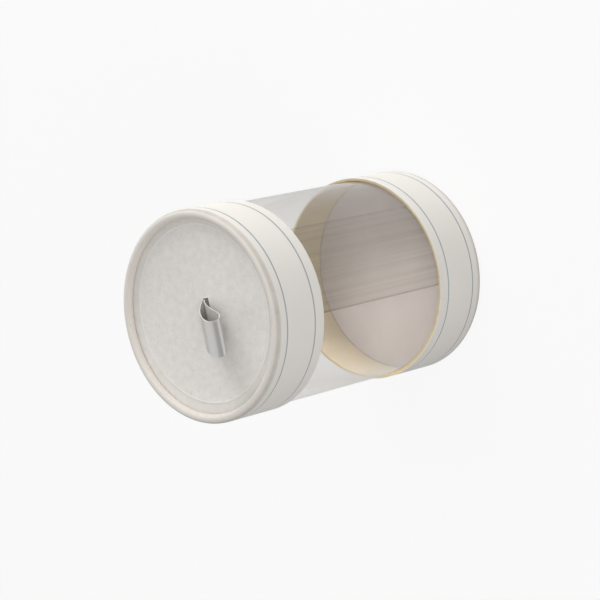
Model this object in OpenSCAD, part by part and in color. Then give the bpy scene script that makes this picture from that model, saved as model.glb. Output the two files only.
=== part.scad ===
// Clear cylinder box: a rolled clear sheet between two paper caps with rolled rims.
// The box stands on the rolled rim of its base, with the axis of the tube on +Z
// and the lid, with its pull strip, on top. All sizes are in millimetres.

/* [Caps] */
// Outside diameter of both caps
cap_d = 100; // [80:1:140]
// Height of each cap, from the crest of the rolled rim to the mouth
cap_h = 31.5; // [24:0.5:50]
// Thickness of the board that the cap's wall is wound from
wall_t = 1.0; // [0.6:0.1:1.4]
// Thickness of the white paper wrapped around the wall and the rim
wrap_t = 0.2; // [0.1:0.05:0.3]
// Thickness of the rolled rim, from one side of the roll to the other
curl_d = 4.3; // [3.6:0.1:6]
// Depth to which the crest of the rolled rim is pressed flat
foot_flat = 0.05; // [0.02:0.01:0.08]

/* [End boards] */
// Thickness of the board that closes each cap
board_t = 2.2; // [1:0.1:4]
// Thickness of the lining disc glued to the inside of that board
liner_t = 2.4; // [1.4:0.1:4]
// Glue gap around the boards, inside the wall
board_gap = 0.1; // [0.05:0.05:0.3]

/* [Cover discs] */
// Thickness of the paper disc glued on the outside of each end board
cover_t = 0.3; // [0.1:0.05:0.6]
// Bare ring of end board left between the paper disc and the rolled rim
cover_margin = 3.7; // [2.5:0.1:8]
// How far off centre the paper disc is glued
cover_shift = 1.2; // [0:0.1:2]

/* [Clear tube] */
// Length of clear wall that shows between the two caps
clear_h = 84; // [40:1:160]
// Thickness of the clear sheet
film_t = 0.3; // [0.2:0.05:0.5]
// Clearance between the sheet's lap and the inside of the caps
tube_gap = 0.3; // [0.3:0.05:0.6]
// Direction of the sheet's inner edge, in degrees from +X
lap_start = -3.5; // [-180:0.5:180]
// Part of a turn over which the sheet laps itself, in degrees
lap_turn = 50.5; // [10:0.5:90]

/* [Pull strip] */
// Width of the pull strip
strip_w = 16.5; // [8:0.5:24]
// Thickness of the pull strip
strip_t = 0.5; // [0.3:0.05:0.8]
// How far the loop leans over to one side of its slot
loop_reach = 19; // [13:0.1:22]
// How far the loop stands up from the paper disc
loop_rise = 11.5; // [8:0.1:14]
// Slant of the loop's two edges, in degrees from square
loop_slant = 41; // [0:1:45]
// Length of each tail folded flat behind the end board
tail_l = 12; // [6:0.5:18]
// Gap between the two legs of the strip in the slot
leg_gap = 0.2; // [0.1:0.05:0.5]
// Clearance around the strip in the slot and in the liner's recess
strip_gap = 0.1; // [0.05:0.05:0.3]
// Open width of the slot left beside the strip
slot_open = 2.4; // [1.2:0.1:3]
// Clearance at each end of the slot
slot_end = 0.5; // [0.2:0.1:1]
// Slot's place to the right of the lid's axis
slot_x = 2.5; // [-5:0.1:5]
// Slot's place to the back of the lid's axis
slot_y = -0.5; // [-5:0.1:5]
// Turn of the slot about the lid's axis, in degrees
slot_turn = 7; // [-45:1:45]

/* [Hidden] */
$fn = 144;

// Radii of the caps, from the outside in
cap_r = cap_d / 2;
board_out_r = cap_r - wrap_t;
wall_in_r = board_out_r - wall_t;
disc_r = wall_in_r - board_gap;
// Rolled rim: radius of the roll and the centre of its section
curl_r = curl_d / 2;
curl_at = [cap_r - curl_r, curl_r - foot_flat];
// Heights in a cap, from the crest of its rim inwards
board_z = curl_d - foot_flat;
liner_z = board_z + board_t;
inside_z = liner_z + liner_t;
cover_r = cap_r - curl_d - cover_margin;
// Heights of the whole box
box_h = 2 * cap_h + clear_h;
tube_l = box_h - 2 * inside_z;
// Inner radius of the sheet's inner ply: the lap's outer ply clears the cap by tube_gap
tube_in_r = wall_in_r - tube_gap - 2 * film_t;
// Pull strip: centre line of a leg from the middle of the strip, and the tails' depth under the cover
leg_x = (leg_gap + strip_t) / 2;
tail_depth = cover_t + board_t + strip_t / 2;
slot_left = -leg_x - strip_t / 2 - strip_gap;
slot_w = 2 * (leg_x + strip_t / 2 + strip_gap) + slot_open;
slot_l = strip_w + 2 * slot_end;
recess_t = strip_t + strip_gap;
recess_l = 2 * (leg_x + tail_l + strip_gap);
// The loop's edges move this far along the slot at the loop's crest
slant_run = loop_rise * tan(loop_slant);
// Overshoot of cutting shapes
eps = 0.5;
loop_steps = 14;

// One stretch of a smooth curve through four control points
function curve(a, b, c, d, n) = [
    for (i = [0 : n - 1])
        let (t = i / n, s = 1 - t)
        a * s * s * s + b * 3 * s * s * t + c * 3 * s * t * t + d * t * t * t
];
// A point of the loop, in shares of its reach and its rise
function loop_point(x, h) = [x * loop_reach, h * loop_rise];
// Centre line of the loop: up out of the slot, over to the right and back underneath
loop_crest = loop_point(0.8, 1);
loop_nose = loop_point(0.95, 0.8);
loop_line = concat(
    curve([-leg_x, 0], loop_point(-0.07, 0.5), loop_point(0.36, 0.96), loop_crest, loop_steps),
    curve(loop_crest, loop_point(0.95, 1.014), loop_point(1.07, 0.93), loop_nose, loop_steps),
    curve(loop_nose, loop_point(0.63, 0.45), loop_point(0.12, 0.28), [leg_x, 0], loop_steps),
    [[leg_x, 0]]
);
// The whole strip: tail, leg, loop, leg, tail
strip_line = concat(
    [[-leg_x - tail_l, -tail_depth], [-leg_x, -tail_depth]],
    loop_line,
    [[leg_x, -tail_depth], [leg_x + tail_l, -tail_depth]]
);
// Sideways direction at a point of a line, long enough to keep the strip's thickness around a bend
function across(a, b) = let (d = (b - a) / norm(b - a)) [-d.y, d.x];
function side(line, i) = let (
    last = len(line) - 1,
    n0 = across(line[max(i - 1, 0)], line[max(i - 1, 0) + 1]),
    n1 = across(line[min(i, last - 1)], line[min(i, last - 1) + 1])
) (n0 + n1) / (1 + n0 * n1);
function beside(line, d) = [for (i = [0 : len(line) - 1]) line[i] + d * side(line, i)];
function turned_round(list) = [for (i = [len(list) - 1 : -1 : 0]) list[i]];

// Section of a layer of the rolled rim: three quarters of a turn, open towards the wall
module rim_section(r_in, r_out) {
    translate(curl_at)
        difference() {
            circle(r_out);
            circle(r_in);
            square(r_out + eps);
        }
}

// Section of the wound board: straight wall and rolled rim
module wall_section() {
    rim_section(curl_r - wrap_t - wall_t, curl_r - wrap_t);
    translate([wall_in_r, curl_at.y])
        square([wall_t, cap_h - curl_at.y]);
}

// Section of the paper around it, with the crest of the rim pressed flat
module wrap_section() {
    difference() {
        rim_section(curl_r - wrap_t, curl_r);
        translate([0, -eps])
            square([cap_r + eps, eps]);
    }
    translate([board_out_r, curl_at.y])
        square([wrap_t, cap_h - curl_at.y]);
}

// Places a cap, drawn standing on its rim, as the lid
module as_lid() {
    translate([0, 0, box_h])
        mirror([0, 0, 1])
            children();
}

// Places what goes through the lid in the frame of its slot, on the face of the cover disc
module at_slot() {
    translate([slot_x, slot_y, box_h - board_z + cover_t])
        rotate([0, 0, slot_turn])
            children();
}

module end_board() {
    translate([0, 0, board_z])
        cylinder(r = disc_r, h = board_t);
}

module liner() {
    translate([0, 0, liner_z])
        cylinder(r = disc_r, h = liner_t);
}

module cover_disc() {
    translate([0, cover_shift, board_z - cover_t])
        cylinder(r = cover_r, h = cover_t);
}

// Cutting shape of the slot, through the cover disc and the end board
module slot_cut() {
    at_slot()
        translate([slot_left, -slot_l / 2, -cover_t - board_t - eps])
            cube([slot_w, slot_l, cover_t + board_t + 2 * eps]);
}

// Cutting shape of the recess for the two tails, in the liner's outer face
module recess_cut() {
    at_slot()
        translate([-recess_l / 2, -slot_l / 2, -cover_t - board_t - recess_t])
            cube([recess_l, slot_l, recess_t + eps]);
}

// A strip of the given width along the slot, with the section of the whole pull strip
module strip_run(w) {
    rotate([90, 0, 0])
        linear_extrude(w, center = true)
            polygon(concat(beside(strip_line, strip_t / 2), turned_round(beside(strip_line, -strip_t / 2))));
}

// One ply of the clear sheet over part of a turn
module ply(r, turn) {
    rotate_extrude(angle = turn)
        translate([r, 0])
            square([film_t, tube_l]);
}

// Sheet rolled a little more than once around: each half turn steps out by half its thickness
module clear_tube() {
    color("#e6eaea", 0.35)
        translate([0, 0, inside_z])
            rotate([0, 0, lap_start]) {
                ply(tube_in_r, 180);
                translate([film_t / 2, 0, 0])
                    rotate([0, 0, 180])
                        ply(tube_in_r + film_t / 2, 180);
                ply(tube_in_r + film_t, lap_turn);
            }
}

module base_wall() {
    color("#cdb994")
        rotate_extrude()
            wall_section();
}

module base_wrap() {
    color("#f4f1ec")
        rotate_extrude()
            wrap_section();
}

module base_end_board() {
    color("#dcd6cf")
        end_board();
}

module base_liner() {
    color("#d8cec6")
        liner();
}

module base_cover_disc() {
    color("#dedad5")
        cover_disc();
}

module lid_wall() {
    color("#cdb994")
        as_lid()
            rotate_extrude()
                wall_section();
}

module lid_wrap() {
    color("#f4f1ec")
        as_lid()
            rotate_extrude()
                wrap_section();
}

module lid_end_board() {
    color("#dcd6cf")
        difference() {
            as_lid()
                end_board();
            slot_cut();
        }
}

module lid_liner() {
    color("#d8cec6")
        difference() {
            as_lid()
                liner();
            recess_cut();
        }
}

module lid_cover_disc() {
    color("#dedad5")
        difference() {
            as_lid()
                cover_disc();
            slot_cut();
        }
}

// Loop with slanted edges above the cover disc, and straight legs and tails below it
module pull_strip() {
    color("#b4b2ad")
        at_slot() {
            intersection() {
                strip_run(strip_w + 2 * slant_run + 2 * eps);
                rotate([loop_slant, 0, 0])
                    translate([-loop_reach, -strip_w * cos(loop_slant) / 2, 0])
                        cube([3 * loop_reach, strip_w * cos(loop_slant), 3 * loop_rise]);
                translate([-loop_reach, -2 * strip_w - slant_run, 0])
                    cube([3 * loop_reach, 4 * strip_w + 2 * slant_run, 2 * loop_rise]);
            }
            intersection() {
                strip_run(strip_w);
                translate([-recess_l, -strip_w, -2 * tail_depth])
                    cube([2 * recess_l, 2 * strip_w, 2 * tail_depth]);
            }
        }
}

clear_tube();
base_wall();
base_wrap();
base_end_board();
base_liner();
base_cover_disc();
lid_wall();
lid_wrap();
lid_end_board();
lid_liner();
lid_cover_disc();
pull_strip();
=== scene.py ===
"""Clear cylinder box with a pull strip: the looks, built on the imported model. All lengths are in metres."""
import math

import bmesh
import bpy
from mathutils import Matrix, Vector


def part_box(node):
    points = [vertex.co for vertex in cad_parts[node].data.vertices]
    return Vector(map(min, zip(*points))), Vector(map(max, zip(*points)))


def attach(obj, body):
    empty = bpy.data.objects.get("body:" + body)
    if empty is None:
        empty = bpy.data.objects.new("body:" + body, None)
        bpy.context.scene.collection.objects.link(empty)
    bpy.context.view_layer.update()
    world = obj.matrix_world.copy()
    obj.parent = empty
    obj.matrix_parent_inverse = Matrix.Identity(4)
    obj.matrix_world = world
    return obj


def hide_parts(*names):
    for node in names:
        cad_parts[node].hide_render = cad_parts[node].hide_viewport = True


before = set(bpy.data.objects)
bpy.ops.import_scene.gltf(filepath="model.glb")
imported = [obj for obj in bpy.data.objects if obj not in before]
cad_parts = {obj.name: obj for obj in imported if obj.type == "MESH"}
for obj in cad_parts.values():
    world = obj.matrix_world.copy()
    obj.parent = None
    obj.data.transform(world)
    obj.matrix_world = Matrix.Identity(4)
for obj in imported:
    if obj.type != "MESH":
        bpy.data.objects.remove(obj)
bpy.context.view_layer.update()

MM = 0.001

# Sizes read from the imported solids
BOX_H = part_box("lid_wrap")[1].z
CAP_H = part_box("base_wrap")[1].z
CAP_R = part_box("base_wrap")[1].x
WRAP_T = CAP_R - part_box("base_wall")[1].x
TUBE_LOW, TUBE_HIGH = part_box("clear_tube")
COVER_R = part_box("base_cover_disc")[1].x
COVER_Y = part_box("base_cover_disc")[1].y - COVER_R
LID_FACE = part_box("lid_cover_disc")[1].z
TAIL_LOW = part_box("pull_strip")[0].z

# Wound wall and rolled rim of the caps
WALL_T = 1.0 * MM
RIM_FLAT = 0.05 * MM
RIM_R = (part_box("base_end_board")[0].z + RIM_FLAT) / 2
RIM_TURN = math.radians(270)
RIM_STEPS = 30
ROUND_STEPS = 192

# Cover discs: ring around the edge that is pressed down by the die that cuts them
EDGE_RING = 0.6 * MM
EDGE_PRESS = 0.12 * MM

# Clear sheet: rolled a little more than once around. Its scored lines are drawn out along the tube
SHEET_STEP = 0.28 * MM
SHEET_T = 0.26 * MM
SHEET_IN_R = 48.22 * MM
LAP_START = math.radians(-3.5)
LAP_TURN = math.radians(50.5)
# Width of the painted shade at the lap's cut edges
STEP_SHADE_W = 0.3 * MM
SCORE_DRAW = 0.0004

# Pull strip: its section, the legs and tails, the loop above the lid's face, and the slot that it goes through
STRIP_W = 16.5 * MM
STRIP_T = 0.5 * MM
STRIP_WORN = 0.3 * MM
LEG_X = 0.35 * MM
TAIL_L = 12 * MM
LOOP_REACH = 19 * MM
LOOP_RISE = 11.5 * MM
LOOP_SLANT = math.radians(41)
LOOP_STEPS = 24
SLOT_LEFT = -0.7 * MM
SLOT_RIGHT = 3.1 * MM
SLOT_HALF = 8.75 * MM
SLOT_AT = Vector((2.5 * MM, -0.5 * MM, LID_FACE))
SLOT_TURN = math.radians(7)

# Printed silver lines, as distances from a cap's mouth
LINE_W = 0.8 * MM
LINE_FROM_MOUTH = (6.0 * MM, 24.5 * MM)

# Wear of the wrap on the rolled rim, as distances from the cap's end; painted shade on its outer shoulder, as
# distances from its outer side; and half the width of the painted shade line of its seam at the back
RIM_WORN = (1.6 * MM, 3.6 * MM)
SHOULDER_SHADE = (1.1 * MM, 0.4 * MM)
SEAM_SHADE_HALF = 0.12 * MM

# Kraft board: its plies, and how deep the colour of its cut edge goes
PLY_T = 0.34 * MM
CUT_DEPTH = 0.12 * MM

# Meshes: doubles that are merged, and the angle from which an edge stays sharp
MERGE_DIST = 0.002 * MM
LINE_MERGE_DIST = 0.005 * MM
SHARP_FROM = math.radians(40)

# Studio: light of the room and its rise overhead; the dim patch overhead, as a direction, the cosines at which
# it starts and is full, and what is left there; the dim front, as the Y at which it is full and at which it
# starts, and what is left there
ROOM_LEVEL = 0.552
ROOM_RISE = 0.085
PATCH_WAY = (-0.33, -0.116, 0.937)
PATCH_COSINES = (0.84, 0.96)
PATCH_LEFT = 0.45
FRONT_Y = (-0.95, -0.5)
FRONT_LEFT = 0.1

# Floor: half its side, and how much of it shows white to the camera and in gloss; the rest keeps the shadow
FLOOR_HALF = 4.0
FLOOR_WHITE = 0.9
FLOOR_WHITE_IN_GLOSS = 0.45

# Camera: eye and aim, and a lens of 2400 pixels in a picture that is 600 wide
CAMERA_EYE = Vector((0.7859, 0.1308, 0.9084))
CAMERA_AIM = Vector((0.0180, 0, 0.0965))
SENSOR_MM = 36
LENS_MM = SENSOR_MM * 2400 / 600

# Light crosses up to eight faces of the clear sheet on its way in, and as many on its way out
SHEET_BOUNCES = 24


def srgb(code):
    """Linear colour of an sRGB hex code such as #f4f1ec."""
    parts = [int(code[i:i + 2], 16) / 255 for i in (1, 3, 5)]
    return [c / 12.92 if c <= 0.04045 else ((c + 0.055) / 1.055) ** 2.4 for c in parts] + [1.0]


def add(tree, kind, inputs=None, **settings):
    """Adds a node with its settings, and sets or links its inputs."""
    node = tree.nodes.new(kind)
    for name, value in settings.items():
        setattr(node, name, value)
    for name, value in (inputs or {}).items():
        if isinstance(value, bpy.types.NodeSocket):
            tree.links.new(value, node.inputs[name])
        else:
            node.inputs[name].default_value = value
    return node


def new_material(name):
    """An empty node material and its tree."""
    mat = bpy.data.materials.new(name)
    mat.use_nodes = True
    mat.node_tree.nodes.clear()
    return mat, mat.node_tree


# White art paper, printed, varnished matt and wound around the cap: even and soft, with a faint fibre tooth
# and thin hot-stamped silver lines. Where it turns onto the rolled rim it is stretched and handled, so it is
# duller and a little tan there, with a few specks of dirt; on its outer shoulder it is painted darker still,
# painted shade where the rim turns away from the light. It laps at the back in one straight seam, drawn as a
# thin darker line that is painted shade of the step
def make_wrap_paper():
    mat, tree = new_material("wrap_art_paper")
    place = add(tree, "ShaderNodeTexCoord").outputs["Object"]
    split = add(tree, "ShaderNodeSeparateXYZ", {"Vector": place})
    height = split.outputs["Z"]
    lines = None
    for cap_mouth, inward in ((CAP_H, -1), (BOX_H - CAP_H, 1)):
        for far in LINE_FROM_MOUTH:
            line = add(tree, "ShaderNodeMath", {0: height, 1: cap_mouth + inward * far, 2: LINE_W / 2},
                       operation="COMPARE").outputs[0]
            lines = line if lines is None else add(tree, "ShaderNodeMath", {0: lines, 1: line},
                                                   operation="MAXIMUM").outputs[0]
    cloud = add(tree, "ShaderNodeTexNoise", {"Vector": place, "Scale": 1 / (18 * MM),
                                             "Detail": 3.0}).outputs["Fac"]
    tone = add(tree, "ShaderNodeMix", {"Factor": cloud, "A": srgb("#f0ede8"), "B": srgb("#ebe8e3")},
               data_type="RGBA").outputs["Result"]
    # Painted shade of the step where the wrap laps at the back: a thin darker line along the seam
    seam_shade = add(tree, "ShaderNodeMath", {0: split.outputs["Y"], 1: 0.0, 2: SEAM_SHADE_HALF},
               operation="COMPARE").outputs[0]
    back = add(tree, "ShaderNodeMath", {0: split.outputs["X"], 1: 0.0}, operation="LESS_THAN").outputs[0]
    seam_shade = add(tree, "ShaderNodeMath", {0: seam_shade, 1: back}, operation="MULTIPLY").outputs[0]
    tone = add(tree, "ShaderNodeMix", {"Factor": seam_shade, "A": tone, "B": srgb("#cbc6bf")},
               data_type="RGBA").outputs["Result"]
    from_top = add(tree, "ShaderNodeMath", {0: BOX_H, 1: height}, operation="SUBTRACT").outputs[0]
    from_end = add(tree, "ShaderNodeMath", {0: height, 1: from_top}, operation="MINIMUM").outputs[0]
    rim = add(tree, "ShaderNodeMapRange", {"Value": from_end, "From Min": RIM_WORN[0], "From Max": RIM_WORN[1],
                                           "To Min": 1.0, "To Max": 0.0},
              interpolation_type="SMOOTHSTEP").outputs[0]
    # Noise that breaks up both the rim's wear and the painted shade on its shoulder
    rub_and_shade_noise = add(tree, "ShaderNodeTexNoise", {"Vector": place, "Scale": 1 / (6 * MM), "Detail": 4.0}).outputs["Fac"]
    rub_and_shade_noise = add(tree, "ShaderNodeMapRange", {"Value": rub_and_shade_noise, "From Min": 0.3, "From Max": 0.7,
                                           "To Min": 0.65}).outputs[0]
    worn = add(tree, "ShaderNodeMath", {0: rim, 1: rub_and_shade_noise}, operation="MULTIPLY").outputs[0]
    tone = add(tree, "ShaderNodeMix", {"Factor": worn, "A": tone, "B": srgb("#eae4dd")},
               data_type="RGBA").outputs["Result"]
    across = add(tree, "ShaderNodeCombineXYZ", {"X": split.outputs["X"], "Y": split.outputs["Y"]}).outputs[0]
    radius = add(tree, "ShaderNodeVectorMath", {0: across}, operation="LENGTH").outputs["Value"]
    # Painted shade on the rim's outer shoulder: darker where it turns away from the light
    shoulder_shade = add(tree, "ShaderNodeMapRange", {"Value": radius, "From Min": CAP_R - SHOULDER_SHADE[0],
                                                "From Max": CAP_R - SHOULDER_SHADE[1], "To Max": 0.85},
                   interpolation_type="SMOOTHSTEP").outputs[0]
    shoulder_shade = add(tree, "ShaderNodeMath", {0: shoulder_shade, 1: rim}, operation="MULTIPLY").outputs[0]
    shoulder_shade = add(tree, "ShaderNodeMath", {0: shoulder_shade, 1: rub_and_shade_noise}, operation="MULTIPLY").outputs[0]
    tone = add(tree, "ShaderNodeMix", {"Factor": shoulder_shade, "A": tone, "B": srgb("#c4beb6")},
               data_type="RGBA").outputs["Result"]
    dirt = add(tree, "ShaderNodeTexNoise", {"Vector": place, "Scale": 1 / (1.5 * MM),
                                            "Detail": 1.0}).outputs["Fac"]
    dirt = add(tree, "ShaderNodeMapRange", {"Value": dirt, "From Min": 0.72, "From Max": 0.8,
                                            "To Max": 0.5}).outputs[0]
    dirt = add(tree, "ShaderNodeMath", {0: dirt, 1: rim}, operation="MULTIPLY").outputs[0]
    tone = add(tree, "ShaderNodeMix", {"Factor": dirt, "A": tone, "B": srgb("#9c9184")},
               data_type="RGBA").outputs["Result"]
    colour = add(tree, "ShaderNodeMix", {"Factor": lines, "A": tone, "B": srgb("#a9aeb2")}, data_type="RGBA")
    rough = add(tree, "ShaderNodeMix", {"Factor": lines, "A": 0.7, "B": 0.3}, data_type="FLOAT")
    fibre = add(tree, "ShaderNodeTexNoise", {"Vector": place, "Scale": 1 / (0.5 * MM),
                                             "Detail": 4.0}).outputs["Fac"]
    bump = add(tree, "ShaderNodeBump", {"Height": fibre, "Strength": 0.12, "Distance": 0.03 * MM})
    shader = add(tree, "ShaderNodeBsdfPrincipled", {
        "Base Color": colour.outputs["Result"], "Metallic": lines, "Roughness": rough.outputs["Result"],
        "IOR": 1.5, "Normal": bump.outputs["Normal"]})
    add(tree, "ShaderNodeOutputMaterial", {"Surface": shader.outputs[0]})
    return mat


# Bare kraft board, wound in plies: warm straw colour, matt, with long fibres; the cut edge at the mouth is a
# deeper gold and shows the plies as fine lines
def make_kraft_board():
    mat, tree = new_material("wound_kraft_board")
    place = add(tree, "ShaderNodeTexCoord").outputs["Object"]
    split = add(tree, "ShaderNodeSeparateXYZ", {"Vector": place})
    across = add(tree, "ShaderNodeCombineXYZ", {"X": split.outputs["X"], "Y": split.outputs["Y"]}).outputs[0]
    radius = add(tree, "ShaderNodeVectorMath", {0: across}, operation="LENGTH").outputs["Value"]
    ply = add(tree, "ShaderNodeMath", {0: radius, 1: 2 * math.pi / PLY_T}, operation="MULTIPLY").outputs[0]
    wave = add(tree, "ShaderNodeMath", {0: ply}, operation="SINE").outputs[0]
    stretch = add(tree, "ShaderNodeMapping", {"Vector": place, "Scale": (1.0, 1.0, 0.25)}).outputs[0]
    fibre = add(tree, "ShaderNodeTexNoise", {"Vector": stretch, "Scale": 1 / (1.2 * MM), "Detail": 5.0,
                                             "Roughness": 0.6}).outputs["Fac"]
    shade = add(tree, "ShaderNodeMath", {0: wave, 1: 0.1, 2: fibre}, operation="MULTIPLY_ADD").outputs[0]
    ramp = add(tree, "ShaderNodeMapRange", {"Value": shade, "From Min": 0.25, "From Max": 0.75}).outputs[0]
    inside = add(tree, "ShaderNodeMix", {"Factor": ramp, "A": srgb("#e3d2b6"), "B": srgb("#ebdec8")},
                 data_type="RGBA").outputs["Result"]
    cut = add(tree, "ShaderNodeMix", {"Factor": ramp, "A": srgb("#d5c296"), "B": srgb("#e3d2ae")},
              data_type="RGBA").outputs["Result"]
    edge = None
    for mouth in (CAP_H, BOX_H - CAP_H):
        near = add(tree, "ShaderNodeMath", {0: split.outputs["Z"], 1: mouth, 2: CUT_DEPTH},
                   operation="COMPARE").outputs[0]
        edge = near if edge is None else add(tree, "ShaderNodeMath", {0: edge, 1: near},
                                             operation="MAXIMUM").outputs[0]
    colour = add(tree, "ShaderNodeMix", {"Factor": edge, "A": inside, "B": cut}, data_type="RGBA")
    bump = add(tree, "ShaderNodeBump", {"Height": fibre, "Strength": 0.25, "Distance": 0.05 * MM})
    shader = add(tree, "ShaderNodeBsdfPrincipled", {
        "Base Color": colour.outputs["Result"], "Roughness": 0.85, "IOR": 1.45,
        "Normal": bump.outputs["Normal"]})
    add(tree, "ShaderNodeOutputMaterial", {"Surface": shader.outputs[0]})
    return mat


# Uncoated paper laid on board: soft, matt, with a slow cloudiness, a fine felt tooth and a few grey flecks
def make_paper(name, pale, deep, cloud_mm, tooth, fleck):
    mat, tree = new_material(name)
    place = add(tree, "ShaderNodeTexCoord").outputs["Object"]
    cloud = add(tree, "ShaderNodeTexNoise", {"Vector": place, "Scale": 1 / (cloud_mm * MM), "Detail": 4.0,
                                             "Roughness": 0.55}).outputs["Fac"]
    spread = add(tree, "ShaderNodeMapRange", {"Value": cloud, "From Min": 0.3, "From Max": 0.7}).outputs[0]
    tone = add(tree, "ShaderNodeMix", {"Factor": spread, "A": srgb(pale), "B": srgb(deep)}, data_type="RGBA")
    flecks = add(tree, "ShaderNodeTexNoise", {"Vector": place, "Scale": 1 / (0.9 * MM),
                                              "Detail": 1.0}).outputs["Fac"]
    flecks = add(tree, "ShaderNodeMapRange", {"Value": flecks, "From Min": 0.6, "From Max": 0.85,
                                              "To Max": fleck}).outputs[0]
    colour = add(tree, "ShaderNodeMix", {"Factor": flecks, "A": tone.outputs["Result"], "B": srgb("#a49c92")},
                 data_type="RGBA")
    felt = add(tree, "ShaderNodeTexNoise", {"Vector": place, "Scale": 1 / (0.6 * MM),
                                            "Detail": 4.0}).outputs["Fac"]
    bump = add(tree, "ShaderNodeBump", {"Height": felt, "Strength": tooth, "Distance": 0.04 * MM})
    shader = add(tree, "ShaderNodeBsdfPrincipled", {
        "Base Color": colour.outputs["Result"], "Roughness": 0.75, "IOR": 1.47,
        "Normal": bump.outputs["Normal"]})
    add(tree, "ShaderNodeOutputMaterial", {"Surface": shader.outputs[0]})
    return mat


# Silver-coated paper ribbon: satin, so it blurs what it mirrors into soft bands along its width
def make_silver_coat():
    mat, tree = new_material("silver_coated_paper")
    place = add(tree, "ShaderNodeTexCoord").outputs["Object"]
    grain = add(tree, "ShaderNodeTexNoise", {"Vector": place, "Scale": 1 / (0.9 * MM),
                                             "Detail": 4.0}).outputs["Fac"]
    colour = add(tree, "ShaderNodeMix", {"Factor": grain, "A": srgb("#c3c2bf"), "B": srgb("#cfcecb")},
                 data_type="RGBA")
    bump = add(tree, "ShaderNodeBump", {"Height": grain, "Strength": 0.1, "Distance": 0.03 * MM})
    shader = add(tree, "ShaderNodeBsdfPrincipled", {
        "Base Color": colour.outputs["Result"], "Metallic": 0.75, "Roughness": 0.28,
        "Normal": bump.outputs["Normal"]})
    add(tree, "ShaderNodeOutputMaterial", {"Surface": shader.outputs[0]})
    return mat


# Clear PVC sheet: glossy and nearly colourless, greyer where it is seen edge on; lamps shine through it. Where
# two plies rub on each other they are scored with fine straight lines along the tube, drawn coarser so that
# they show. The steps at the two cut edges of the lap are painted darker: painted shade where one ply ends on
# the other. Its IOR is below the 1.53 of PVC to match the photo: at 1.53 it mirrors too much white where it is
# seen edge on in front of the board
def make_clear_sheet(name, faced, edge_on, scored):
    mat, tree = new_material(name)
    place = add(tree, "ShaderNodeTexCoord").outputs["Object"]
    split = add(tree, "ShaderNodeSeparateXYZ", {"Vector": place})
    turn = add(tree, "ShaderNodeMath", {0: split.outputs["Y"], 1: split.outputs["X"]},
               operation="ARCTAN2").outputs[0]
    draw = add(tree, "ShaderNodeMapping", {"Vector": place, "Scale": (1.0, 1.0, SCORE_DRAW)}).outputs[0]
    streak = add(tree, "ShaderNodeTexNoise", {"Vector": draw, "Scale": 1 / (1.8 * MM),
                                              "Detail": 2.0}).outputs["Fac"]
    score = add(tree, "ShaderNodeMapRange", {"Value": streak, "From Min": 0.4, "From Max": 0.65,
                                             "To Max": scored}).outputs[0]
    # Painted shade in the steps at the lap's two cut edges, where one ply ends on the other
    step_shade = None
    for edge, much in ((LAP_START, 1.0), (LAP_START + LAP_TURN, 0.3)):
        near = add(tree, "ShaderNodeMath", {0: turn, 1: edge, 2: STEP_SHADE_W / SHEET_IN_R},
                   operation="COMPARE").outputs[0]
        near = add(tree, "ShaderNodeMath", {0: near, 1: much}, operation="MULTIPLY").outputs[0]
        step_shade = near if step_shade is None else add(tree, "ShaderNodeMath", {0: step_shade, 1: near},
                                             operation="MAXIMUM").outputs[0]
    slope = add(tree, "ShaderNodeLayerWeight", {"Blend": 0.5}).outputs["Facing"]
    slope = add(tree, "ShaderNodeMath", {0: slope, 1: 1.5}, operation="POWER").outputs[0]
    tint = add(tree, "ShaderNodeMix", {"Factor": slope, "A": srgb(faced), "B": srgb(edge_on)},
               data_type="RGBA").outputs["Result"]
    tint = add(tree, "ShaderNodeMix", {"Factor": score, "A": tint, "B": srgb("#e6e4e0")},
               data_type="RGBA").outputs["Result"]
    colour = add(tree, "ShaderNodeMix", {"Factor": step_shade, "A": tint, "B": srgb("#e6e0db")}, data_type="RGBA")
    shader = add(tree, "ShaderNodeBsdfPrincipled", {
        "Base Color": colour.outputs["Result"], "Roughness": 0.03, "IOR": 1.25, "Transmission Weight": 1.0})
    lamp = add(tree, "ShaderNodeBsdfTransparent", {"Color": srgb("#fefefd")})
    path = add(tree, "ShaderNodeLightPath")
    both = add(tree, "ShaderNodeMixShader", {0: path.outputs["Is Shadow Ray"], 1: shader.outputs[0],
                                             2: lamp.outputs[0]})
    add(tree, "ShaderNodeOutputMaterial", {"Surface": both.outputs[0]})
    return mat


# Guillotined edge of the clear sheet: scored across, so it is dull and grey instead of clear
def make_sheet_edge():
    mat, tree = new_material("clear_pvc_cut_edge")
    place = add(tree, "ShaderNodeTexCoord").outputs["Object"]
    nicks = add(tree, "ShaderNodeTexNoise", {"Vector": place, "Scale": 1 / (0.7 * MM),
                                             "Detail": 3.0}).outputs["Fac"]
    colour = add(tree, "ShaderNodeMix", {"Factor": nicks, "A": srgb("#b4aea8"), "B": srgb("#c8c2bc")},
                 data_type="RGBA")
    shader = add(tree, "ShaderNodeBsdfPrincipled", {
        "Base Color": colour.outputs["Result"], "Roughness": 0.4, "IOR": 1.53})
    add(tree, "ShaderNodeOutputMaterial", {"Surface": shader.outputs[0]})
    return mat


wrap_paper = make_wrap_paper()
kraft_board = make_kraft_board()
# Facing of the end boards, and the pinker lining disc inside
end_paper = make_paper("end_board_paper", "#f2efeb", "#ebe7e2", cloud_mm=4, tooth=0.2, fleck=0.12)
liner_paper = make_paper("liner_paper", "#e1d9d8", "#d9d0cf", cloud_mm=22, tooth=0.15, fleck=0.06)
# Disc glued in the recess, and its whiter edge, which the cutting die has pressed smooth
cover_paper = make_paper("cover_paper", "#f5f1ee", "#ebe7e3", cloud_mm=3.5, tooth=0.3, fleck=0.35)
paper_edge = make_paper("paper_cut_edge", "#fbfaf7", "#f5f3ee", cloud_mm=6, tooth=0.1, fleck=0.1)
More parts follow.
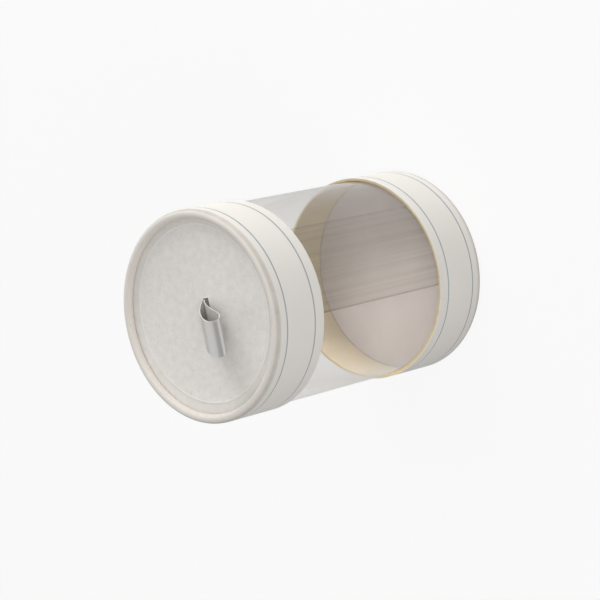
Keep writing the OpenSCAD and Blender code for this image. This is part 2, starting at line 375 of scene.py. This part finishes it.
# Ribbon: coated outside, its core where it is cut or the coat is worn off, and its bare reverse inside the loop
silver_coat = make_silver_coat()
ribbon_core = make_paper("ribbon_core_paper", "#e2dfda", "#d8d5cf", cloud_mm=5, tooth=0.1, fleck=0.1)
ribbon_back = make_paper("ribbon_back_paper", "#cecbc7", "#c5c2be", cloud_mm=5, tooth=0.1, fleck=0.1)
# The sheet where it is single, where it laps on itself, and at its cut edges
clear_sheet = make_clear_sheet("clear_pvc_sheet", faced="#fdfdfc", edge_on="#f9f8f6", scored=0.0)
lapped_sheet = make_clear_sheet("clear_pvc_lap", faced="#f7f6f4", edge_on="#f3f2ef", scored=0.32)
sheet_edge = make_sheet_edge()


def finish_piece(name, bm, body, node, materials, pick=None):
    """Makes a shaded object of a bmesh, rides it on its body and puts it in its node's place."""
    bmesh.ops.remove_doubles(bm, verts=bm.verts, dist=MERGE_DIST)
    bmesh.ops.recalc_face_normals(bm, faces=bm.faces)
    if pick:
        for face in bm.faces:
            face.material_index = pick(face)
    mesh = bpy.data.meshes.new(name)
    bm.to_mesh(mesh)
    bm.free()
    mesh.shade_smooth()
    mesh.set_sharp_from_angle(angle=SHARP_FROM)
    for mat in materials:
        mesh.materials.append(mat)
    piece = bpy.data.objects.new(name, mesh)
    bpy.context.scene.collection.objects.link(piece)
    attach(piece, body)
    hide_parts(node)
    return piece


def verts_in(geom):
    """The vertices among the geometry that an operator gives back."""
    return [v for v in geom if isinstance(v, bmesh.types.BMVert)]


def cap_layer(name, out_r, thick, body, node, mat):
    """One wound layer of a cap, with its end rolled inwards: drawn as the base, and turned over for the lid."""
    bm = bmesh.new()
    roll = Vector((CAP_R - RIM_R, 0, RIM_R - RIM_FLAT))
    ends = []
    for r in (out_r, out_r - thick):
        mouth = bm.verts.new((r, 0, CAP_H))
        foot = bm.verts.new((r, 0, roll.z))
        bm.edges.new((mouth, foot))
        turned = bmesh.ops.spin(bm, geom=[foot], cent=roll, axis=(0, 1, 0), angle=RIM_TURN, steps=RIM_STEPS)
        ends.append((mouth, verts_in(turned["geom_last"])[0]))
    bm.edges.new((ends[0][0], ends[1][0]))
    bm.edges.new((ends[0][1], ends[1][1]))
    for v in bm.verts:
        v.co.z = max(v.co.z, 0)
    bmesh.ops.spin(bm, geom=bm.verts[:] + bm.edges[:], cent=(0, 0, 0), axis=(0, 0, 1), angle=2 * math.pi,
                   steps=ROUND_STEPS, use_merge=True)
    if body == "lid":
        turn_over = Matrix.Translation((0, 0, BOX_H)) @ Matrix.Scale(-1, 4, (0, 0, 1))
        bmesh.ops.transform(bm, matrix=turn_over, verts=bm.verts)
    return finish_piece(name, bm, body, node, [mat])


AT_SLOT = Matrix.Translation(SLOT_AT) @ Matrix.Rotation(SLOT_TURN, 4, "Z")


def cut_slot(bm):
    """Cuts the strip's slot out of a flat disc: four straight cuts, and the piece between them taken out."""
    turn = AT_SLOT.to_3x3()
    for corner, way in (((SLOT_LEFT, 0, 0), (1, 0, 0)), ((SLOT_RIGHT, 0, 0), (1, 0, 0)),
                        ((0, -SLOT_HALF, 0), (0, 1, 0)), ((0, SLOT_HALF, 0), (0, 1, 0))):
        bmesh.ops.bisect_plane(bm, geom=bm.verts[:] + bm.edges[:] + bm.faces[:],
                               plane_co=AT_SLOT @ Vector(corner), plane_no=turn @ Vector(way))
    back = AT_SLOT.inverted()
    gone = []
    for face in bm.faces:
        middle = back @ face.calc_center_median()
        if SLOT_LEFT < middle.x < SLOT_RIGHT and abs(middle.y) < SLOT_HALF:
            gone.append(face)
    bmesh.ops.delete(bm, geom=gone, context="FACES")


# Number of a cover disc's other finish: its paper is the first, 0
PRESSED = 1


def cover_disc(name, body, node, mat):
    """A paper disc: die-cut with a pressed edge, and slotted on the lid for the strip."""
    low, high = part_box(node)
    glued, shown = (low.z, high.z) if body == "lid" else (high.z, low.z)
    bm = bmesh.new()
    bmesh.ops.create_circle(bm, cap_ends=True, radius=COVER_R, segments=ROUND_STEPS)
    bmesh.ops.translate(bm, vec=(0, COVER_Y, glued), verts=bm.verts)
    if body == "lid":
        cut_slot(bm)
    raised = bmesh.ops.extrude_face_region(bm, geom=bm.faces[:], use_keep_orig=True)["geom"]
    bmesh.ops.translate(bm, vec=(0, 0, shown - glued), verts=verts_in(raised))
    top = [f for f in raised if isinstance(f, bmesh.types.BMFace)]
    rim = [v for v in verts_in(raised) if (v.co.xy - Vector((0, COVER_Y))).length > COVER_R - EDGE_RING]
    ring = bmesh.ops.inset_region(bm, faces=top, thickness=EDGE_RING, use_boundary=True,
                                  use_even_offset=True)["faces"]
    bmesh.ops.translate(bm, vec=(0, 0, math.copysign(EDGE_PRESS, glued - shown)), verts=rim)
    for face in ring:
        face.material_index = PRESSED
    return finish_piece(name, bm, body, node, [mat, paper_edge])


for cap, cap_body in (("base", "box"), ("lid", "lid")):
    cap_layer(cap + "_kraft_wall", CAP_R - WRAP_T, WALL_T, cap_body, cap + "_wall", kraft_board)
    cap_layer(cap + "_paper_wrap", CAP_R, WRAP_T, cap_body, cap + "_wrap", wrap_paper)
    cover_disc(cap + "_paper_disc", cap_body, cap + "_cover_disc", cover_paper)
    for node, mat in (("_end_board", end_paper), ("_liner", liner_paper)):
        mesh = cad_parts[cap + node].data
        mesh.materials.clear()
        mesh.materials.append(mat)


CLEAR, LAPPED, CUT = 0, 1, 2


def sheet_finish(face):
    """Number of the sheet's finish on a face: clear, scored where the sheet laps on itself, or cut edge; the
    inside of the tube stays clear."""
    middle = face.calc_center_median()
    out = Vector((middle.x, middle.y, 0)).normalized()
    if abs(face.normal.z) < 0.5 and abs(face.normal.dot(out)) < 0.5:
        return CUT
    turn = (math.atan2(middle.y, middle.x) - LAP_START) % (2 * math.pi)
    inside = middle.xy.length < SHEET_IN_R + SHEET_T * 0.75
    return LAPPED if turn < LAP_TURN and not inside else CLEAR


def rolled_sheet():
    """The clear sheet: its end section carried around in two half turns, each wider than the last, and a lap."""
    bm = bmesh.new()
    low, high = TUBE_LOW.z, TUBE_HIGH.z
    ring = [bm.verts.new((r, 0, z)) for r, z in ((SHEET_IN_R, low), (SHEET_IN_R + SHEET_T, low),
                                                 (SHEET_IN_R + SHEET_T, high), (SHEET_IN_R, high))]
    section = ring + [bm.edges.new((ring[i], ring[i - 1])) for i in range(4)]
    half = ROUND_STEPS // 2
    for centre, turn, steps in ((0, math.pi, half), (SHEET_STEP / 2, math.pi, half), (0, LAP_TURN, half // 3)):
        section = bmesh.ops.spin(bm, geom=section, cent=(centre, 0, 0), axis=(0, 0, 1), angle=turn,
                                 steps=steps)["geom_last"]
    bmesh.ops.holes_fill(bm, edges=[e for e in bm.edges if e.is_boundary], sides=4)
    bmesh.ops.rotate(bm, cent=(0, 0, 0), matrix=Matrix.Rotation(LAP_START, 3, "Z"), verts=bm.verts)
    return finish_piece("clear_rolled_sheet", bm, "box", "clear_tube",
                        [clear_sheet, lapped_sheet, sheet_edge], sheet_finish)


rolled_sheet()


def loop_curve():
    """Centre line of the pull strip in its own section plane, as a Bezier curve made into edges."""
    def at(x, h):
        return (x * LOOP_REACH, 0, h * LOOP_RISE)

    tail = TAIL_LOW - LID_FACE + STRIP_T / 2
    knots = [  # left handle, point, right handle
        (None, (-LEG_X - TAIL_L, 0, tail), None),
        (None, (-LEG_X, 0, tail), None),
        (None, (-LEG_X, 0, 0), at(-0.07, 0.5)),
        (at(0.42, 0.985), at(0.76, 1.0), at(0.86, 1.0044)),
        (at(0.957, 0.965), at(0.95, 0.88), at(0.945, 0.82)),
        (at(0.905, 0.748), at(0.84, 0.695), at(0.63, 0.526)),
        (at(0.12, 0.28), (LEG_X, 0, 0), None),
        (None, (LEG_X, 0, tail), None),
        (None, (LEG_X + TAIL_L, 0, tail), None)]
    curve = bpy.data.curves.new("strip_line", "CURVE")
    curve.dimensions = "3D"
    curve.resolution_u = LOOP_STEPS
    spline = curve.splines.new("BEZIER")
    spline.bezier_points.add(len(knots) - 1)
    for point, (left, co, right) in zip(spline.bezier_points, knots):
        point.co = co
        point.handle_left_type = "FREE" if left else "VECTOR"
        point.handle_right_type = "FREE" if right else "VECTOR"
        if left:
            point.handle_left = left
        if right:
            point.handle_right = right
    holder = bpy.data.objects.new("strip_line", curve)
    bpy.context.scene.collection.objects.link(holder)
    bpy.context.view_layer.update()
    bm = bmesh.new()
    bm.from_mesh(holder.to_mesh())
    holder.to_mesh_clear()
    bpy.data.objects.remove(holder)
    bpy.data.curves.remove(curve)
    return bm


# Numbers of the strip's other finishes: its coat is the first, 0
CORE, REVERSE = 1, 2


def pull_strip():
    """The strip: its centre line drawn out along the slot, slanted above the lid's face and made thick; it is
    coated on the loop's outside, and the coat is worn off along its upper edge."""
    bm = loop_curve()
    bmesh.ops.remove_doubles(bm, verts=bm.verts, dist=LINE_MERGE_DIST)
    bmesh.ops.translate(bm, vec=(0, -STRIP_W / 2, 0), verts=bm.verts)
    line = bm.edges[:]
    for wide in (STRIP_W - STRIP_WORN, STRIP_WORN):
        drawn = set(verts_in(bmesh.ops.extrude_edge_only(bm, edges=line)["geom"]))
        bmesh.ops.translate(bm, vec=(0, wide, 0), verts=list(drawn))
        line = [e for e in bm.edges if drawn.issuperset(e.verts)]
    for face in bm.faces:
        if face.calc_center_median().y > STRIP_W / 2 - STRIP_WORN:
            face.material_index = CORE
    slant = Matrix.Identity(4)
    slant[1][2] = -math.tan(LOOP_SLANT)
    bmesh.ops.transform(bm, matrix=slant, verts=[v for v in bm.verts if v.co.z > 0])
    bmesh.ops.recalc_face_normals(bm, faces=bm.faces)
    if max(bm.faces, key=lambda face: face.calc_center_median().z).normal.z < 0:
        bmesh.ops.reverse_faces(bm, faces=bm.faces)
    bm.normal_update()
    for v in bm.verts:
        v.co += v.normal * v.calc_shell_factor() * STRIP_T / 2
    coated = set(bm.faces)
    bmesh.ops.solidify(bm, geom=bm.faces[:], thickness=STRIP_T)
    bm.normal_update()
    for face in bm.faces:
        if face not in coated:
            face.material_index = CORE if abs(face.normal.y) > 0.5 else REVERSE
    bmesh.ops.transform(bm, matrix=AT_SLOT, verts=bm.verts)
    return finish_piece("pull_strip_loop", bm, "lid", "pull_strip",
                        [silver_coat, ribbon_core, ribbon_back])


pull_strip()


def seen_rays(tree):
    """1 for rays of the camera, of gloss and through the sheet, until they meet a matt face; and gloss alone."""
    path = add(tree, "ShaderNodeLightPath")
    seen = add(tree, "ShaderNodeMath", {0: path.outputs["Is Camera Ray"], 1: path.outputs["Is Glossy Ray"]},
               operation="MAXIMUM").outputs[0]
    seen = add(tree, "ShaderNodeMath", {0: seen, 1: path.outputs["Is Transmission Ray"]},
               operation="MAXIMUM").outputs[0]
    first = add(tree, "ShaderNodeMath", {0: path.outputs["Diffuse Depth"], 1: 0.5},
                operation="LESS_THAN").outputs[0]
    seen = add(tree, "ShaderNodeMath", {0: seen, 1: first}, operation="MULTIPLY").outputs[0]
    return seen, path.outputs["Is Glossy Ray"]


# Stage: a pale floor that shows white to the camera and keeps a soft shadow
def make_floor():
    mat, tree = new_material("pale_floor")
    seen, gloss = seen_rays(tree)
    much = add(tree, "ShaderNodeMix", {"Factor": gloss, "A": FLOOR_WHITE, "B": FLOOR_WHITE_IN_GLOSS},
               data_type="FLOAT").outputs["Result"]
    share = add(tree, "ShaderNodeMath", {0: seen, 1: much}, operation="MULTIPLY").outputs[0]
    matt = add(tree, "ShaderNodeBsdfDiffuse", {"Color": srgb("#e6e6e6")})
    pale = add(tree, "ShaderNodeEmission", {"Color": srgb("#fefefe"), "Strength": 1.0})
    both = add(tree, "ShaderNodeMixShader", {0: share, 1: matt.outputs[0], 2: pale.outputs[0]})
    add(tree, "ShaderNodeOutputMaterial", {"Surface": both.outputs[0]})
    bm = bmesh.new()
    bmesh.ops.create_grid(bm, x_segments=1, y_segments=1, size=FLOOR_HALF)
    mesh = bpy.data.meshes.new("floor")
    bm.to_mesh(mesh)
    bm.free()
    mesh.materials.append(mat)
    floor = bpy.data.objects.new("floor", mesh)
    bpy.context.scene.collection.objects.link(floor)


make_floor()


def make_world():
    """A pale room, a little brighter overhead, dim at the front (-Y) and in one patch overhead; it shows white."""
    world = bpy.data.worlds.new("studio")
    bpy.context.scene.world = world
    world.use_nodes = True
    tree = world.node_tree
    tree.nodes.clear()
    seen, gloss = seen_rays(tree)
    way = add(tree, "ShaderNodeTexCoord").outputs["Generated"]
    facing = add(tree, "ShaderNodeVectorMath", {0: way, 1: PATCH_WAY}, operation="DOT_PRODUCT").outputs["Value"]
    dim = add(tree, "ShaderNodeMapRange", {"Value": facing, "From Min": PATCH_COSINES[0],
                                           "From Max": PATCH_COSINES[1], "To Min": 1.0, "To Max": PATCH_LEFT},
              interpolation_type="SMOOTHSTEP").outputs[0]
    split = add(tree, "ShaderNodeSeparateXYZ", {"Vector": way})
    front = add(tree, "ShaderNodeMapRange", {"Value": split.outputs["Y"], "From Min": FRONT_Y[0],
                                             "From Max": FRONT_Y[1], "To Min": FRONT_LEFT},
                interpolation_type="SMOOTHSTEP").outputs[0]
    dim = add(tree, "ShaderNodeMath", {0: dim, 1: front}, operation="MULTIPLY").outputs[0]
    level = add(tree, "ShaderNodeMath", {0: split.outputs["Z"], 1: ROOM_RISE, 2: ROOM_LEVEL},
                operation="MULTIPLY_ADD").outputs[0]
    level = add(tree, "ShaderNodeMath", {0: level, 1: dim}, operation="MULTIPLY").outputs[0]
    shown = add(tree, "ShaderNodeMix", {"Factor": gloss, "A": 1.0, "B": dim},
                data_type="FLOAT").outputs["Result"]
    level = add(tree, "ShaderNodeMix", {"Factor": seen, "A": level, "B": shown},
                data_type="FLOAT").outputs["Result"]
    light = add(tree, "ShaderNodeBackground", {"Color": srgb("#fbfbfb"), "Strength": level})
    add(tree, "ShaderNodeOutputWorld", {"Surface": light.outputs[0]})


make_world()


def area_lamp(name, at, aim, size, watts, tint):
    """A soft square lamp aimed at a point, which gloss doesn't mirror."""
    lamp = bpy.data.lights.new(name, "AREA")
    lamp.size = size
    lamp.energy = watts
    lamp.color = srgb(tint)[:3]
    holder = bpy.data.objects.new(name, lamp)
    bpy.context.scene.collection.objects.link(holder)
    holder.visible_glossy = False
    holder.location = at
    holder.rotation_euler = (Vector(aim) - Vector(at)).to_track_quat("-Z", "Y").to_euler()


BOX_MIDDLE = (0, 0, BOX_H / 2)
area_lamp("back_key", at=(-0.33, 1.27, 0.4), aim=BOX_MIDDLE, size=0.9, watts=12.0, tint="#fdfcfa")
area_lamp("fill", at=(0.9, -0.3, 1.0), aim=BOX_MIDDLE, size=0.8, watts=3.85, tint="#fffdf9")


def make_camera():
    """The photograph's viewpoint: from above the lid, looking down along the box, rolled level with its X axis."""
    data = bpy.data.cameras.new("camera")
    data.lens = LENS_MM
    data.sensor_width = SENSOR_MM
    data.clip_start, data.clip_end = 0.05, 20
    camera = bpy.data.objects.new("camera", data)
    bpy.context.scene.collection.objects.link(camera)
    back = (CAMERA_EYE - CAMERA_AIM).normalized()
    up = back.cross(Vector((1, 0, 0))).normalized()
    turn = Matrix((up.cross(back), up, back)).transposed()
    camera.matrix_world = Matrix.Translation(CAMERA_EYE) @ turn.to_4x4()
    bpy.context.scene.camera = camera


make_camera()
bpy.context.scene.view_settings.view_transform = "Standard"
bpy.context.scene.cycles.max_bounces = SHEET_BOUNCES
bpy.context.scene.cycles.transmission_bounces = SHEET_BOUNCES
bpy.context.scene.cycles.transparent_max_bounces = SHEET_BOUNCES

bpy.context.view_layer.update()
